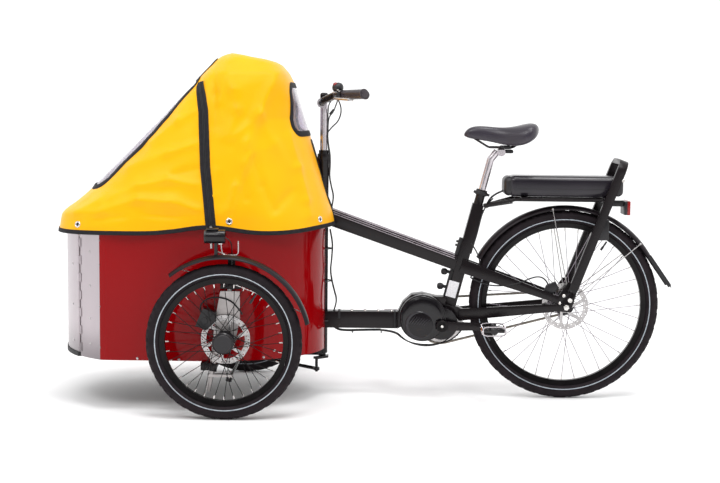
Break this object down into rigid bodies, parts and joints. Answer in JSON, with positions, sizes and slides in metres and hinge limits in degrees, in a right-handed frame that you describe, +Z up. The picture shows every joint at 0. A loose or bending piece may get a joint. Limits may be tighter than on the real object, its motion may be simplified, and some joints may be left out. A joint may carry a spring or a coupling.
{
  "type": "electric cargo tricycle",
  "caption": "Pedal tricycle with electric motor: a round-backed load box with front door and fabric hood between two steered wheels, rider saddle, battery rack and driven wheel behind.",
  "frame": {"origin": "ground level under the middle of the length and width", "axes": "+X to the rear, +Y to the side with the chain, +Z up"},
  "size_m": [2.0834, 0.88, 1.1719],
  "materials": {
    "black_plastic": "satin",
    "floor_wood": "matte film-faced board",
    "aluminium": "brushed",
    "red_gloss": "gloss red",
    "black_metal": "gloss black powder coat",
    "bare_steel": "bare",
    "rubber_edge": "matte",
    "tyre": "matte",
    "black_alloy": "black anodised",
    "grip_rubber": "matte",
    "yellow_fabric": "coated weave",
    "clear_film": "clear film",
    "light_alloy": "satin",
    "lamp_red": "clear red",
    "saddle_cover": "smooth"
  },
  "bodies": {
    "frame": {"battery": "black_plastic", "box_floor": "floor_wood", "box_rim": "aluminium", "box_shell": "red_gloss", "brake_caliper_rear": "black_metal", "chain": "bare_steel", "chassis": "black_metal", "corner_strips": "aluminium", "head_tube": "black_metal", "hinge_leaf_box": "aluminium", "hood": "yellow_fabric", "hood_bows": "black_metal", "hood_windows": "clear_film", "main_beam": "black_metal", "motor": "black_plastic", "motor_cradle": "black_metal", "rack": "black_metal", "rear_fender": "black_plastic", "rear_lamp": "lamp_red", "rear_stays": "black_metal", "ring_lock": "black_metal", "saddle": "saddle_cover", "seat_post": "light_alloy", "seat_tube": "black_metal", "top_tube": "black_metal"},
    "door": {"front_door": "aluminium", "door_lip": "rubber_edge", "hinge_leaf_door": "aluminium", "door_latch": "aluminium"},
    "steering": {"steering_column": "black_metal", "handlebar": "black_alloy", "grips": "grip_rubber", "bar_controls": "black_plastic"},
    "knuckle_left": {"knuckle_left": "light_alloy", "front_fender_left": "black_plastic", "headlamp_left": "black_plastic"},
    "knuckle_right": {"knuckle_right": "light_alloy", "front_fender_right": "black_plastic", "headlamp_right": "black_plastic"},
    "drag_link": {"drag_link": "black_metal"},
    "tie_rod": {"tie_rod": "black_metal"},
    "wheel_left": {"front_wheel_left": "black_alloy", "front_tyre_left": "tyre", "front_disc_left": "bare_steel"},
    "wheel_right": {"front_wheel_right": "black_alloy", "front_tyre_right": "tyre", "front_disc_right": "bare_steel"},
    "wheel_rear": {"rear_wheel": "black_alloy", "rear_tyre": "tyre", "rear_disc": "bare_steel"},
    "cranks": {"crankset": "black_metal"},
    "pedal_left": {"pedal_left": "black_plastic"},
    "pedal_right": {"pedal_right": "black_plastic"}
  },
  "joints": [
    {"name": "door_hinge", "type": "hinge", "parent": "frame", "child": "door", "pos_m": [-0.9556, -0.225, 0.37], "axis": [0, 0, 1], "range_deg": [0, 110]},
    {"name": "steer", "type": "hinge", "parent": "frame", "child": "steering", "pos_m": [-0.1585, 0, 0.5], "axis": [0, 0, 1], "range_deg": [-18, 18]},
    {"name": "kingpin_left", "type": "hinge", "parent": "frame", "child": "knuckle_left", "pos_m": [-0.5035, -0.33, 0.137], "axis": [0.207, 0, 0.9783], "range_deg": [-18, 18]},
    {"name": "kingpin_right", "type": "hinge", "parent": "frame", "child": "knuckle_right", "pos_m": [-0.5035, 0.33, 0.137], "axis": [0.207, 0, 0.9783], "range_deg": [-18, 18]},
    {"name": "drag_pivot", "type": "hinge", "parent": "steering", "child": "drag_link", "pos_m": [-0.1765, -0.038, 0.098], "axis": [0, 0, 1], "range_deg": [-18, 18]},
    {"name": "tie_pivot", "type": "hinge", "parent": "knuckle_left", "child": "tie_rod", "pos_m": [-0.4454, -0.33, 0.128], "axis": [0.207, 0, 0.9783], "range_deg": [-18, 18]},
    {"name": "wheel_left_spin", "type": "hinge", "parent": "knuckle_left", "child": "wheel_left", "pos_m": [-0.4565, -0.402, 0.25], "axis": [0, 1, 0], "continuous": true},
    {"name": "wheel_right_spin", "type": "hinge", "parent": "knuckle_right", "child": "wheel_right", "pos_m": [-0.4565, 0.402, 0.25], "axis": [0, 1, 0], "continuous": true},
    {"name": "wheel_rear_spin", "type": "hinge", "parent": "frame", "child": "wheel_rear", "pos_m": [0.6735, 0, 0.3265], "axis": [0, 1, 0], "continuous": true},
    {"name": "crank_spin", "type": "hinge", "parent": "frame", "child": "cranks", "pos_m": [0.2525, 0, 0.258], "axis": [0, 1, 0], "continuous": true},
    {"name": "pedal_left_spin", "type": "hinge", "parent": "cranks", "child": "pedal_left", "pos_m": [0.4225, -0.14, 0.258], "axis": [0, 1, 0], "continuous": true},
    {"name": "pedal_right_spin", "type": "hinge", "parent": "cranks", "child": "pedal_right", "pos_m": [0.0825, 0.14, 0.258], "axis": [0, 1, 0], "continuous": true}
  ],
  "couplings": [
    {"joint": "kingpin_left", "follows": "steer", "ratio": 1},
    {"joint": "kingpin_right", "follows": "steer", "ratio": 1},
    {"joint": "drag_pivot", "follows": "steer", "ratio": -1},
    {"joint": "tie_pivot", "follows": "steer", "ratio": -1}
  ]
}
